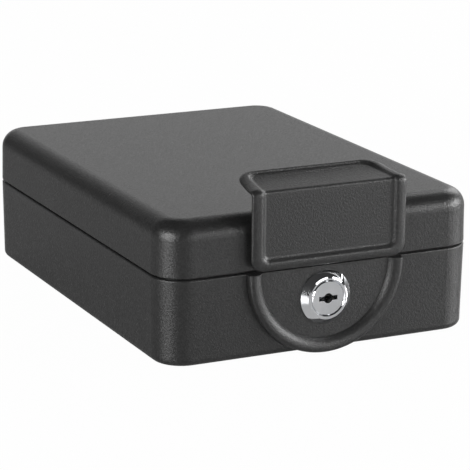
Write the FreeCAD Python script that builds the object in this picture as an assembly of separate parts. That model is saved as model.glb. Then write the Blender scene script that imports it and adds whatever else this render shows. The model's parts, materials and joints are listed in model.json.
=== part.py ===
import FreeCAD, Part
import math
import os

from FreeCAD import Vector

# Body, measured at the parting line between base and lid, in millimetres
BODY_WIDTH = 150.0
BODY_DEPTH = 203.0
BASE_HEIGHT = 38.0
LID_HEIGHT = 24.3
PARTING_GAP = 0.6
WALL = 1.5
DRAFT = math.radians(0.91)
CORNER_RADIUS = 14.2
LID_EDGE_RADIUS = 8.2
BASE_EDGE_RADIUS = 3.0
RIM_ROUNDING = 0.7

# Clearances that the fits share
FIXED_CLEARANCE = 0.03
RUN_CLEARANCE = 0.05
MOVING_GAP = 0.4
CUT_MARGIN = 2.0
HOLE_REACH = 7.5
TOUCH = 0.001

# Rubber feet and foam linings
FOOT_HEIGHT = 1.5
FOOT_RADIUS = 6.0
FOOT_ROUNDING = 0.5
FOOT_INSET = 27.0
MAT_THICKNESS = 3.0
MAT_MARGIN = 4.2
PAD_THICKNESS = 4.0
PAD_MARGIN = 12.0
PAD_CORNER_RADIUS = 7.0

# Steel tongue that stands up out of the base into the lid
TONGUE_THICKNESS = 1.2
TONGUE_RISE = 5.0
TONGUE_DEPTH = 7.0
TONGUE_CLEARANCE = 0.6
TONGUE_LAP = 2.5
TONGUE_BACK_STOP = 22.0

# Half-round lock plate on the front of the base
PLATE_RADIUS = 36.9
PLATE_BEAD_PROUD = 3.6
PLATE_BEAD_ROUNDING = 2.0
PLATE_RIM_WIDTH = 6.5
PLATE_PANEL_PROUD = 0.6
PLATE_DROP = 0.75
PLATE_RIM_STEP = 0.3
PLATE_SCREW_ANGLE = math.radians(45.0)
PLATE_SCREW_INSET = 0.5

# Lid pull: front plate with a rim, and a scooped lip that sweeps back over the lid
PULL_HALF_WIDTH = 35.3
PULL_PROUD = 6.2
PULL_OVERLAP = 0.6
PULL_LIFT = 0.6
PULL_CORNER_RADIUS = 5.0
PULL_CREST_RISE = 11.5
PULL_CREST_ROUNDING = 3.4
PULL_OUTER_ROUNDING = 2.6
PULL_INNER_ROUNDING = 1.4
PULL_WALL = 2.4
LIP_BACK_RISE = 13.4
LIP_REACH = 21.0
LIP_BACK_NARROWING = 1.5
LIP_CORNER_RADIUS = 5.5
LIP_THICKNESS = 2.8
LIP_ROOT_RISE = 7.3
LIP_ROOT_RADIUS = 2.5
DISH_SIDE_RIM = 5.6
DISH_BOTTOM_RIM = 6.0
DISH_BACK_RIM = 3.4
DISH_CORNER_RADIUS = 3.0
PANEL_PROUD = 4.3
PANEL_RISE = 10.1
PANEL_EDGE_ROUNDING = 1.8
SCOOP_FLAT = 7.0
SCOOP_RADIUS = 14.0
SCOOP_BACK_DEPTH = 1.6
BOSS_RADIUS = 3.6
BOSS_ROOT = 1.2
PULL_SCREW_X = 20.0

# Screws
SCREW_RADIUS = 1.5
SCREW_HEAD_RADIUS = 2.8
SCREW_HEAD_HEIGHT = 1.8
SCREW_HEAD_ROUNDING = 0.7
SCREW_BITE = 2.6
DRIVE_WIDTH = 0.8
DRIVE_LENGTH = 3.4
DRIVE_DEPTH = 0.9

# Cam lock
LOCK_HEIGHT = 23.8
BEZEL_OVERLAP = 2.7
BEZEL_FACE_RADIUS = 9.1
BEZEL_DEPTH = 3.1
BEZEL_FLANGE = 0.6
BEZEL_CHAMFER = 0.4
PLUG_CHAMFER = 0.4
BARREL_RADIUS = 9.2
BARREL_LENGTH = 14.5
PLUG_RADIUS = 7.7
PLUG_SETBACK = 0.05
KEYWAY_LENGTH = 8.8
KEYWAY_WIDTH = 2.0
KEYWAY_BULGE = 2.2
KEYWAY_DEPTH = 14.0
NUT_SIDES = 6
NUT_RIM = 1.8
NUT_GAP = 0.3
NUT_THICKNESS = 4.0
WAFER_COUNT = 5
WAFER_THICKNESS = 1.0
WAFER_PITCH = 2.0
WAFER_START = 3.0
WAFER_SIDE_INSET = 2.1
WAFER_TOP_INSET = 4.1
WAFER_SIDE_RIM = 1.0
WAFER_TOP_RIM = 1.2
TAIL_HALF_WIDTH = 3.5
STOP_RADIUS = 7.5
STOP_THICKNESS = 1.0
STOP_TAB_INSET = 0.1
STOP_TAB_ANGLE = 44.0
STOP_LUG_INNER = 7.9
LOCK_TRAVEL = 90.0
STOP_PLAY = 2.0
CAM_THICKNESS = 2.5
CAM_HUB_RADIUS = 7.5
CAM_ARM_HALF_WIDTH = 4.0
CAM_HOOK_INNER = 12.9
CAM_HOOK_OUTER = 17.5
CAM_HOOK_SPAN = 55.0
CAM_REST_ANGLE = 220.0
CAM_WASHER_RADIUS = 5.5
CAM_WASHER_THICKNESS = 1.0

# Catch that hangs from the lid for the cam to hook under
CATCH_THICKNESS = 1.6
CATCH_HALF_WIDTH = 26.0
CATCH_HEIGHT = 9.5
CATCH_SHELF_LEFT = 8.0
CATCH_STEM_LEFT = 13.0
CATCH_STEM_RIGHT = 20.0
CATCH_FOOT_LEFT = -0.5
CATCH_FOOT_LOW = 9.6
CATCH_FOOT_HIGH = 11.5

# Hinge
HINGE_LENGTH = 110.0
HINGE_KNUCKLES = 5
HINGE_OFFSET = 1.2
KNUCKLE_RADIUS = 2.7
KNUCKLE_GAP = 0.3
PIN_RADIUS = 1.5
PIN_HEAD_RADIUS = 2.2
PIN_HEAD_LENGTH = 0.8
LEAF_THICKNESS = 1.2
LEAF_EDGE = 1.9
LEAF_HEIGHT = 14.0
WEB_INNER = 1.2
NOTCH_HALF_HEIGHT = 3.2
NOTCH_END_GAP = 1.6
LID_TRAVEL = 110.0
LUG_REACH = 4.6
LUG_THICKNESS = 1.4
LUG_LENGTH = 8.0
LUG_GAP = 0.3
RIVET_RADIUS = 1.5
RIVET_HEAD_RADIUS = 2.6
RIVET_HEAD_HEIGHT = 0.9
RIVET_SPACING = 40.0

# Heights above the floor
base_low = FOOT_HEIGHT
rim_z = base_low + BASE_HEIGHT
lid_low = rim_z + PARTING_GAP
lid_top = lid_low + LID_HEIGHT
parting_z = rim_z + PARTING_GAP / 2
lock_z = base_low + LOCK_HEIGHT
half_depth = BODY_DEPTH / 2
front_y = -half_depth
axis_y = half_depth + HINGE_OFFSET
open_angle = math.radians(LID_TRAVEL)
lug_proud = LUG_REACH * math.sin(open_angle) - (HINGE_OFFSET - LUG_GAP) * math.cos(open_angle)
body_shift = (PULL_PROUD - HINGE_OFFSET - lug_proud) / 2

QUARTER_TURN = 90.0
HALF_TURN = 180.0
ORIGIN = Vector(0, 0, 0)
X_AXIS = Vector(1, 0, 0)
Y_AXIS = Vector(0, 1, 0)
Z_AXIS = Vector(0, 0, 1)


def taper(distance):
    """Inward lean of a drafted wall at a distance from its rim."""
    return distance * math.tan(DRAFT)


def rim_distance(z):
    """Height difference from z to the rim of the shell it belongs to."""
    if z < parting_z:
        return rim_z - z
    return z - lid_low


def back_wall(z, inset=0.0):
    """Depth coordinate of the back wall's outer face, moved in by inset."""
    return half_depth - inset - taper(rim_distance(z))


def front_wall(z, inset=0.0):
    """Depth coordinate of the front wall's outer face, moved in by inset."""
    return -back_wall(z, inset)


def rounded_face(corners):
    """Flat face from corner points, each with the radius that rounds it."""
    bends = []
    for index, (point, radius) in enumerate(corners):
        before = (corners[index - 1][0] - point).normalize()
        after = (corners[(index + 1) % len(corners)][0] - point).normalize()
        half_angle = before.getAngle(after) / 2
        setback = radius / math.tan(half_angle)
        inward = (before + after).normalize()
        middle = point + inward * (radius / math.sin(half_angle) - radius)
        bends.append((point + before * setback, middle, point + after * setback))
    edges = []
    for index, (first, middle, last) in enumerate(bends):
        if corners[index][1] > 0:
            edges.append(Part.Arc(first, middle, last).toShape())
        edges.append(Part.makeLine(last, bends[(index + 1) % len(bends)][0]))
    return Part.Face(Part.Wire(edges))


def rounded_rect(width, depth, radius, z):
    """Face of a rounded rectangle centred on the axis."""
    x = width / 2
    y = depth / 2
    corners = [(x, -y), (x, y), (-x, y), (-x, -y)]
    return rounded_face([(Vector(cx, cy, z), radius) for cx, cy in corners])


def outline(inset, distance, z):
    """Body outline moved in by inset, at a distance from the rim."""
    shrink = inset + taper(distance)
    return rounded_rect(BODY_WIDTH - 2 * shrink, BODY_DEPTH - 2 * shrink, CORNER_RADIUS - shrink, z)


def edges_at(shape, z):
    """Edges of a shape that lie in one level plane."""
    found = []
    for edge in shape.Edges:
        bounds = edge.BoundBox
        if abs(bounds.ZMin - z) < TOUCH and abs(bounds.ZMax - z) < TOUCH:
            found.append(edge)
    return found


def drafted_block(inset, rim, z_open, z_closed):
    """Solid with flat drafted sides and a quarter cone at each corner."""
    side = 1 if z_closed > rim else -1
    low, high = sorted((z_open, z_closed))
    ends = [outline(inset, side * (z - rim), z) for z in (low, high)]
    radii = [CORNER_RADIUS - inset - taper(side * (z - rim)) for z in (low, high)]
    corner_x = BODY_WIDTH / 2 - CORNER_RADIUS
    corner_y = BODY_DEPTH / 2 - CORNER_RADIUS
    faces = list(ends)
    for turn, (sx, sy) in enumerate([(1, 1), (-1, 1), (-1, -1), (1, -1)]):
        cone = Part.makeCone(radii[0], radii[1], high - low, ORIGIN, Z_AXIS, QUARTER_TURN)
        cone.rotate(ORIGIN, Z_AXIS, QUARTER_TURN * turn)
        cone.translate(Vector(sx * corner_x, sy * corner_y, low))
        faces += [face for face in cone.Faces if isinstance(face.Surface, Part.Cone)]
    straights = [[edge for edge in end.Edges if isinstance(edge.Curve, Part.Line)] for end in ends]
    for lower, upper in zip(*straights):
        a, b = [vertex.Point for vertex in lower.Vertexes]
        d, c = [vertex.Point for vertex in upper.Vertexes]
        faces.append(Part.Face(Part.makePolygon([a, b, c, d, a])))
    shell = Part.makeShell(faces)
    shell.sewShape()
    return Part.makeSolid(shell)


def rounded_block(inset, rim, z_open, z_closed, edge_radius):
    """Drafted block with its closed end's edges rounded."""
    block = drafted_block(inset, rim, z_open, z_closed)
    return block.makeFillet(edge_radius, edges_at(block, z_closed))


def box(x0, x1, y0, y1, z0, z1):
    """Box between two corners."""
    return Part.makeBox(x1 - x0, y1 - y0, z1 - z0, Vector(x0, y0, z0))


def rod_y(radius, y0, y1, x, z):
    """Cylinder along the depth."""
    return Part.makeCylinder(radius, y1 - y0, Vector(x, y0, z), Y_AXIS)


def rod_x(radius, x0, x1, y, z):
    """Cylinder along the width."""
    return Part.makeCylinder(radius, x1 - x0, Vector(x0, y, z), X_AXIS)


def prism(points, direction):
    """Straight-sided face pushed along a direction."""
    wire = Part.makePolygon(points + points[:1])
    return Part.Face(wire).extrude(direction)


def side_prism(points, x0, x1):
    """Solid from a side view given as depth and height pairs."""
    return prism([Vector(x0, y, z) for y, z in points], Vector(x1 - x0, 0, 0))


def joined(shapes):
    """One shape fused from several, with flush seams removed."""
    return shapes[0].multiFuse(shapes[1:]).removeSplitter()


def save(name, shape):
    """Move a shape to the shared frame and write it."""
    moved = shape.copy()
    moved.translate(Vector(0, body_shift, 0))
    moved.exportStep("parts/" + name + ".step")


def screw(x, z, seat_y, tip_y):
    """Pan-head screw whose head looks towards the back."""
    head_end = seat_y + SCREW_HEAD_HEIGHT
    head = rod_y(SCREW_HEAD_RADIUS, seat_y, head_end, x, z)
    rim_edges = [edge for edge in head.Edges if abs(edge.BoundBox.YMin - head_end) < TOUCH]
    head = head.makeChamfer(SCREW_HEAD_ROUNDING, rim_edges)
    half = DRIVE_LENGTH / 2
    thin = DRIVE_WIDTH / 2
    drive_y = head_end - DRIVE_DEPTH
    head = head.cut(box(x - half, x + half, drive_y, head_end + CUT_MARGIN, z - thin, z + thin))
    head = head.cut(box(x - thin, x + thin, drive_y, head_end + CUT_MARGIN, z - half, z + half))
    return joined([head, rod_y(SCREW_RADIUS, tip_y, seat_y, x, z)])


def screw_hole(x, z, y0, y1):
    """Clearance hole for a screw."""
    return rod_y(SCREW_RADIUS + FIXED_CLEARANCE, y0, y1, x, z)


def rivet(x, z):
    """Rivet through the back wall and a hinge leaf, square to the wall."""
    grip = WALL + LEAF_THICKNESS + 2 * FIXED_CLEARANCE
    reach = grip + RIVET_HEAD_HEIGHT
    shape = Part.makeCylinder(RIVET_RADIUS, grip, Vector(0, -grip, 0), Y_AXIS)
    outer = Part.makeCone(RIVET_HEAD_RADIUS, RIVET_RADIUS, RIVET_HEAD_HEIGHT, ORIGIN, Y_AXIS)
    inner = Part.makeCone(RIVET_RADIUS, RIVET_HEAD_RADIUS, RIVET_HEAD_HEIGHT, Vector(0, -reach, 0), Y_AXIS)
    shape = joined([shape, outer, inner])
    return on_back_wall(shape, x, z)


def rivet_hole(x, z):
    """Hole for a rivet, square to the back wall."""
    start = -WALL - LEAF_THICKNESS - CUT_MARGIN
    hole = Part.makeCylinder(RIVET_RADIUS + FIXED_CLEARANCE, CUT_MARGIN - start, Vector(0, start, 0), Y_AXIS)
    return on_back_wall(hole, x, z)


def on_back_wall(shape, x, z):
    """Tilt a shape with the back wall's draft and set it on the outer face."""
    tilt = math.degrees(DRAFT) if z > parting_z else -math.degrees(DRAFT)
    placed = shape.copy()
    placed.rotate(ORIGIN, X_AXIS, tilt)
    placed.translate(Vector(x, back_wall(z), z))
    return placed


# Positions that several pieces share
base_rivet_z = parting_z - LEAF_EDGE - LEAF_HEIGHT / 2
lid_rivet_z = parting_z + LEAF_EDGE + LEAF_HEIGHT / 2
rivet_xs = [-RIVET_SPACING, 0.0, RIVET_SPACING]
plate_z = base_low - PLATE_DROP + PLATE_RADIUS
plate_top = rim_z - PLATE_RIM_STEP
plate_crest_radius = PLATE_RADIUS - PLATE_BEAD_ROUNDING
plate_panel_radius = PLATE_RADIUS - PLATE_RIM_WIDTH
plate_screw_radius = plate_crest_radius - PLATE_SCREW_INSET
plate_screw_x = plate_screw_radius * math.sin(PLATE_SCREW_ANGLE)
plate_screw_z = plate_z - plate_screw_radius * math.cos(PLATE_SCREW_ANGLE)
pull_low = lid_low + PULL_LIFT
catch_low = rim_z + TONGUE_RISE + 2 * MOVING_GAP
pull_screw_z = catch_low + CATCH_THICKNESS + CATCH_HEIGHT / 2
panel_y = front_y - PLATE_PANEL_PROUD
bezel_base_radius = BARREL_RADIUS + BEZEL_OVERLAP
nut_half_flats = BARREL_RADIUS + NUT_RIM
barrel_end = front_y + BARREL_LENGTH
stop_y = barrel_end + RUN_CLEARANCE
cam_y = stop_y + STOP_THICKNESS + RUN_CLEARANCE
cam_end = cam_y + CAM_THICKNESS
tail_end = cam_end - RUN_CLEARANCE
cam_washer_y = cam_end + FIXED_CLEARANCE
cam_washer_end = cam_washer_y + CAM_WASHER_THICKNESS

os.makedirs("parts", exist_ok=True)

# Outer forms of the two shells, the forms that pieces on them are cut by, and the hollows
base_outer = rounded_block(0.0, rim_z, rim_z, base_low, BASE_EDGE_RADIUS)
base_outer = base_outer.makeFillet(RIM_ROUNDING, edges_at(base_outer, rim_z))
lid_outer = rounded_block(0.0, lid_low, lid_low, lid_top, LID_EDGE_RADIUS)
lid_outer = lid_outer.makeFillet(RIM_ROUNDING, edges_at(lid_outer, lid_low))
seat = FIXED_CLEARANCE
base_seat = rounded_block(-seat, rim_z, rim_z + CUT_MARGIN, base_low - seat, BASE_EDGE_RADIUS + seat)
lid_seat = rounded_block(-seat, lid_low, lid_low - CUT_MARGIN, lid_top + seat, LID_EDGE_RADIUS + seat)
base_inner = rounded_block(WALL, rim_z, rim_z + CUT_MARGIN, base_low + WALL, BASE_EDGE_RADIUS - WALL)
lid_inner = rounded_block(WALL, lid_low, lid_low - CUT_MARGIN, lid_top - WALL, LID_EDGE_RADIUS - WALL)

# Hinge notch in both back walls
notch_half = HINGE_LENGTH / 2 + NOTCH_END_GAP
notch = box(
    -notch_half,
    notch_half,
    half_depth - KNUCKLE_RADIUS - WALL,
    half_depth + CUT_MARGIN,
    parting_z - NOTCH_HALF_HEIGHT,
    parting_z + NOTCH_HALF_HEIGHT,
)

# Base shell: holes for the lock, the plate's screws and the hinge rivets
front_in = front_y + HOLE_REACH
front_out = front_y - CUT_MARGIN
barrel_hole = rod_y(BARREL_RADIUS + FIXED_CLEARANCE, front_y - PULL_PROUD, front_in, 0.0, lock_z)
base_shell = base_outer.cut(base_inner).cut(notch)
base_shell = base_shell.cut(barrel_hole)
for side in (-1, 1):
    base_shell = base_shell.cut(screw_hole(side * plate_screw_x, plate_screw_z, front_out, front_in))
for x in rivet_xs:
    base_shell = base_shell.cut(rivet_hole(x, base_rivet_z))
save("base_shell", base_shell)

# Lid shell: holes for the pull's screws and the hinge rivets
lid_shell = lid_outer.cut(lid_inner).cut(notch)
for side in (-1, 1):
    lid_shell = lid_shell.cut(screw_hole(side * PULL_SCREW_X, pull_screw_z, front_out, front_in))
for x in rivet_xs:
    lid_shell = lid_shell.cut(rivet_hole(x, lid_rivet_z))
save("lid_shell", lid_shell)

# Tongue: welded to the base wall, joggled inwards above the rim
tongue_low = rim_z - TONGUE_DEPTH
tongue_lap = rim_z - TONGUE_LAP
lower_inset = WALL + FIXED_CLEARANCE
lower_ring = drafted_block(lower_inset, rim_z, rim_z, tongue_low)
lower_ring = lower_ring.cut(drafted_block(lower_inset + TONGUE_THICKNESS, rim_z, rim_z, tongue_low))
upper_inset = WALL + TONGUE_CLEARANCE
upper_height = Vector(0, 0, TONGUE_LAP + TONGUE_RISE)
upper_ring = outline(upper_inset, 0.0, tongue_lap).extrude(upper_height)
upper_ring = upper_ring.cut(outline(upper_inset + TONGUE_THICKNESS, 0.0, tongue_lap).extrude(upper_height))
lower_ring = lower_ring.cut(box(-BODY_WIDTH, BODY_WIDTH, -BODY_DEPTH, BODY_DEPTH, tongue_lap + WALL, lid_top))
lock_relief = bezel_base_radius + WALL
nut_clear_z = lock_z + nut_half_flats + NUT_GAP
lower_ring = lower_ring.cut(box(-lock_relief, lock_relief, front_y, 0.0, 0.0, lid_top))
upper_ring = upper_ring.cut(box(-lock_relief, lock_relief, front_y, 0.0, 0.0, nut_clear_z))
rim_tongue = joined([lower_ring, upper_ring])
tongue_back = half_depth - TONGUE_BACK_STOP
rim_tongue = rim_tongue.cut(box(-BODY_WIDTH, BODY_WIDTH, tongue_back, BODY_DEPTH, 0.0, lid_top))
save("rim_tongue", rim_tongue)

# Lock plate: bead profile turned through a half circle, then carried up to the rim
plate_back = front_y + CUT_MARGIN
plate_crest_y = front_y - PLATE_BEAD_PROUD
rounding_y = plate_crest_y + PLATE_BEAD_ROUNDING
slope_width = plate_crest_radius - plate_panel_radius
slope_depth = PLATE_BEAD_PROUD - PLATE_PANEL_PROUD
slope_radius = (slope_width**2 + slope_depth**2) / (2 * slope_depth)


def bead_point(radius, center_y, lean):
    """Point of the bead's profile, lean turning from the crest to the outer side."""
    across = plate_crest_radius + radius * math.sin(lean)
    return Vector(across, center_y - radius * math.cos(lean), plate_z)


outer_lean = math.radians(QUARTER_TURN)
slope_lean = -math.asin(slope_width / slope_radius)
plate_crest = bead_point(PLATE_BEAD_ROUNDING, rounding_y, 0.0)
plate_skirt = bead_point(PLATE_BEAD_ROUNDING, rounding_y, outer_lean)
plate_shoulder = bead_point(PLATE_BEAD_ROUNDING, rounding_y, outer_lean / 2)
plate_slope = bead_point(slope_radius, plate_crest_y + slope_radius, slope_lean / 2)
plate_crease = Vector(plate_panel_radius, panel_y, plate_z)
plate_rest = [
    plate_skirt,
    Vector(PLATE_RADIUS, plate_back, plate_z),
    Vector(0.0, plate_back, plate_z),
    Vector(0.0, panel_y, plate_z),
    plate_crease,
]
plate_bead = [
    Part.Arc(plate_crease, plate_slope, plate_crest).toShape(),
    Part.Arc(plate_crest, plate_shoulder, plate_skirt).toShape(),
]
plate_face = Part.Face(Part.Wire(plate_bead + Part.makePolygon(plate_rest).Edges))
plate_turned = plate_face.revolve(Vector(0, 0, plate_z), Y_AXIS, HALF_TURN)
plate_right = plate_face.extrude(Vector(0, 0, plate_top - plate_z))
plate_left = plate_right.mirror(ORIGIN, X_AXIS)
lock_plate = joined([plate_turned, plate_right, plate_left]).cut(base_seat)
lock_plate = lock_plate.cut(barrel_hole)
plate_screw_tip = front_y - SCREW_BITE
for side in (-1, 1):
    pilot = screw_hole(side * plate_screw_x, plate_screw_z, plate_screw_tip - RUN_CLEARANCE, front_in)
    lock_plate = lock_plate.cut(pilot)
save("lock_plate", lock_plate)

plate_screw_seat = front_wall(plate_screw_z - SCREW_HEAD_RADIUS, WALL) + FIXED_CLEARANCE
plate_screws = []
for side in (-1, 1):
    plate_screws.append(screw(side * plate_screw_x, plate_screw_z, plate_screw_seat, plate_screw_tip))
save("lock_plate_screws", Part.makeCompound(plate_screws))

# Lid pull: side view with the lip, trimmed in plan, its lower corners and outer edges rounded
crest_z = lid_top + PULL_CREST_RISE
lip_top = lid_top + LIP_BACK_RISE
lip_back = front_y + LIP_REACH
pull_front = front_y - PULL_PROUD
pull_rear = front_y + PULL_OVERLAP
pull_side = PULL_HALF_WIDTH + CUT_MARGIN
pull_profile = [
    (pull_rear, pull_low, 0.0),
    (pull_front, pull_low, 0.0),
    (pull_front, crest_z, PULL_CREST_ROUNDING),
    (lip_back, lip_top, 0.0),
    (lip_back, lip_top - LIP_THICKNESS, 0.0),
    (pull_rear, lid_top + LIP_ROOT_RISE, LIP_ROOT_RADIUS),
]
lid_pull = rounded_face([(Vector(-pull_side, y, z), radius) for y, z, radius in pull_profile])
lid_pull = lid_pull.extrude(Vector(2 * pull_side, 0, 0))
lip_half = PULL_HALF_WIDTH - LIP_BACK_NARROWING
pull_plan = [
    (-PULL_HALF_WIDTH, pull_front - CUT_MARGIN, 0.0),
    (PULL_HALF_WIDTH, pull_front - CUT_MARGIN, 0.0),
    (lip_half, lip_back, LIP_CORNER_RADIUS),
    (-lip_half, lip_back, LIP_CORNER_RADIUS),
]
plan_face = rounded_face([(Vector(x, y, 0.0), radius) for x, y, radius in pull_plan])
lid_pull = lid_pull.common(plan_face.extrude(Vector(0, 0, lip_top + CUT_MARGIN)))
lower_corners = [edge for edge in edges_at(lid_pull, pull_low) if edge.BoundBox.XLength < PULL_PROUD]
lid_pull = lid_pull.makeFillet(PULL_CORNER_RADIUS, lower_corners)


def pull_skin(shape):
    """Front, crest and lip-top faces of the pull."""
    skin = []
    for face in shape.Faces:
        surface = face.Surface
        bounds = face.BoundBox
        if isinstance(surface, Part.Cylinder):
            is_skin = abs(surface.Radius - PULL_CREST_ROUNDING) < TOUCH and abs(surface.Axis.x) > TOUCH
        elif isinstance(surface, Part.Plane):
            is_front = abs(bounds.YMin - pull_front) < TOUCH and bounds.YLength < TOUCH
            is_top = bounds.ZMin > crest_z - TOUCH and abs(surface.Axis.z) > abs(surface.Axis.y)
            is_skin = is_front or is_top
        else:
            is_skin = False
        if is_skin:
            skin.append(face)
    return skin


def border(faces):
    """Edges round a group of faces, without the edges between them."""
    edges = [edge for face in faces for edge in face.Edges]
    return [edge for edge in edges if sum(edge.isSame(other) for other in edges) == 1]


lid_pull = lid_pull.makeFillet(PULL_OUTER_ROUNDING, border(pull_skin(lid_pull)))

# Dish in the pull: a recessed panel on the front that turns over an edge into the scooped lip
dish_half = PULL_HALF_WIDTH - DISH_SIDE_RIM
dish_low = pull_low + DISH_BOTTOM_RIM
dish_front = pull_front - CUT_MARGIN
dish_high = lip_top + CUT_MARGIN
dish_back = lip_back - DISH_BACK_RIM
panel_front = front_y - PANEL_PROUD
panel_top = lid_top + PANEL_RISE
dish_profile = [
    (dish_front, dish_low, 0.0),
    (panel_front, dish_low, 0.0),
    (panel_front, panel_top, PANEL_EDGE_ROUNDING),
    (front_y + SCOOP_FLAT, panel_top, SCOOP_RADIUS),
    (dish_back, lip_top - SCOOP_BACK_DEPTH, 0.0),
    (dish_back, dish_high, 0.0),
    (dish_front, dish_high, 0.0),
]
dish = rounded_face([(Vector(-dish_half, y, z), radius) for y, z, radius in dish_profile])
dish = dish.extrude(Vector(2 * dish_half, 0, 0))
dish_corners = []
for edge in dish.Edges:
    bounds = edge.BoundBox
    along_depth = bounds.ZMax < dish_low + TOUCH and bounds.XLength < TOUCH
    along_height = bounds.YMin > dish_back - TOUCH and bounds.XLength < TOUCH
    if along_depth or along_height:
        dish_corners.append(edge)
dish = dish.makeFillet(DISH_CORNER_RADIUS, dish_corners)
lid_pull = lid_pull.cut(dish)
dish_rim = [edge for edge in border(pull_skin(lid_pull)) if dish.BoundBox.isInside(edge.BoundBox.Center)]
lid_pull = lid_pull.makeFillet(PULL_INNER_ROUNDING, dish_rim)

# Cored back of the pull, with bosses for its screws
core = box(
    -PULL_HALF_WIDTH + PULL_WALL,
    PULL_HALF_WIDTH - PULL_WALL,
    panel_front + PULL_WALL,
    lip_back,
    pull_low + PULL_WALL,
    lid_top - LID_EDGE_RADIUS,
)
pull_screw_tip = panel_front + BOSS_ROOT
bosses = []
for side in (-1, 1):
    bosses.append(rod_y(BOSS_RADIUS, pull_screw_tip, pull_rear, side * PULL_SCREW_X, pull_screw_z))
lid_pull = joined([lid_pull.cut(core)] + bosses).cut(lid_seat)
for side in (-1, 1):
    pilot = screw_hole(side * PULL_SCREW_X, pull_screw_z, pull_screw_tip - RUN_CLEARANCE, front_in)
    lid_pull = lid_pull.cut(pilot)
save("lid_pull", lid_pull)

# Lid catch: flange on the lid's front wall, shelf over the tongue, hook plate in the cam's plane
shelf_z = catch_low + CATCH_THICKNESS
flange_top = shelf_z + CATCH_HEIGHT
hook_y0 = cam_y + FIXED_CLEARANCE
hook_y1 = cam_end - FIXED_CLEARANCE
flange_low_y = front_wall(catch_low, WALL) + FIXED_CLEARANCE
flange_top_y = front_wall(flange_top, WALL) + FIXED_CLEARANCE
flange = side_prism(
    [
        (flange_low_y, catch_low),
        (flange_top_y, flange_top),
        (flange_top_y + CATCH_THICKNESS, flange_top),
        (flange_low_y + CATCH_THICKNESS, catch_low),
    ],
    -CATCH_HALF_WIDTH,
    CATCH_HALF_WIDTH,
)
shelf_right = CATCH_STEM_RIGHT + CATCH_STEM_LEFT - CATCH_SHELF_LEFT
shelf = box(CATCH_SHELF_LEFT, shelf_right, flange_top_y, hook_y1, catch_low, shelf_z)
stem = box(CATCH_STEM_LEFT, CATCH_STEM_RIGHT, hook_y0, hook_y1, lock_z + CATCH_FOOT_LOW, shelf_z)
foot_plate = box(
    CATCH_FOOT_LEFT,
    CATCH_STEM_RIGHT,
    hook_y0,
    hook_y1,
    lock_z + CATCH_FOOT_LOW,
    lock_z + CATCH_FOOT_HIGH,
)
lid_catch = joined([flange, shelf, stem, foot_plate])
for side in (-1, 1):
    lid_catch = lid_catch.cut(screw_hole(side * PULL_SCREW_X, pull_screw_z, front_out, front_in))
save("lid_catch", lid_catch)

pull_screw_seat = front_wall(pull_screw_z + SCREW_HEAD_RADIUS, WALL) + CATCH_THICKNESS + 2 * FIXED_CLEARANCE
pull_screws = []
for side in (-1, 1):
    pull_screws.append(screw(side * PULL_SCREW_X, pull_screw_z, pull_screw_seat, pull_screw_tip))
save("lid_pull_screws", Part.makeCompound(pull_screws))

# Lock barrel with its bezel and the lug that limits the stop washer
bezel_y = panel_y - BEZEL_FLANGE
bezel_face = bezel_y - BEZEL_DEPTH + BEZEL_FLANGE
bezel = joined(
    [
        rod_y(bezel_base_radius, bezel_y, panel_y, 0.0, lock_z),
        Part.makeCone(
            BEZEL_FACE_RADIUS,
            bezel_base_radius,
            bezel_y - bezel_face,
            Vector(0, bezel_face, lock_z),
            Y_AXIS,
        ),
        rod_y(BARREL_RADIUS, panel_y, barrel_end, 0.0, lock_z),
    ]
)
bore = rod_y(PLUG_RADIUS + RUN_CLEARANCE, bezel_face - CUT_MARGIN, cam_y + CUT_MARGIN, 0.0, lock_z)
lug_gap = STOP_TAB_ANGLE + LOCK_TRAVEL + STOP_PLAY
lug = rod_y(BARREL_RADIUS, barrel_end, cam_y - RUN_CLEARANCE, 0.0, lock_z)
lug = lug.cut(rod_y(STOP_LUG_INNER, barrel_end, cam_y, 0.0, lock_z))
tab_start = CAM_REST_ANGLE + STOP_TAB_ANGLE / 2 + STOP_PLAY / 2


def sector(radius, y0, y1, start, span):
    """Wedge of a cylinder about the lock axis, angles seen from the front."""
    wedge = Part.makeCylinder(radius, y1 - y0, ORIGIN, Z_AXIS, span)
    wedge.rotate(ORIGIN, X_AXIS, QUARTER_TURN)
    wedge.rotate(ORIGIN, Y_AXIS, -start)
    wedge.translate(Vector(0, y1, lock_z))
    return wedge


lug = lug.cut(sector(2 * BARREL_RADIUS, barrel_end, cam_y, tab_start - lug_gap, lug_gap))
lock_barrel = joined([bezel, lug]).cut(bore)
bezel_rim = [edge for edge in lock_barrel.Edges if abs(edge.BoundBox.YMax - bezel_face) < TOUCH]
lock_barrel = lock_barrel.makeChamfer(BEZEL_CHAMFER, bezel_rim)
save("lock_barrel", lock_barrel)

# Hexagon nut that clamps the barrel behind the wall
nut_y = front_wall(lock_z - nut_half_flats, WALL) + FIXED_CLEARANCE
nut_points = []
nut_turn = math.tau / NUT_SIDES
nut_corner = nut_half_flats / math.cos(nut_turn / 2)
for step in range(NUT_SIDES):
    angle = nut_turn * step
    nut_points.append(Vector(nut_corner * math.cos(angle), nut_y, lock_z + nut_corner * math.sin(angle)))
lock_nut = prism(nut_points, Vector(0, NUT_THICKNESS, 0))
lock_nut = lock_nut.cut(rod_y(BARREL_RADIUS + FIXED_CLEARANCE, nut_y, nut_y + NUT_THICKNESS, 0.0, lock_z))
save("lock_nut", lock_nut)

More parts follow.
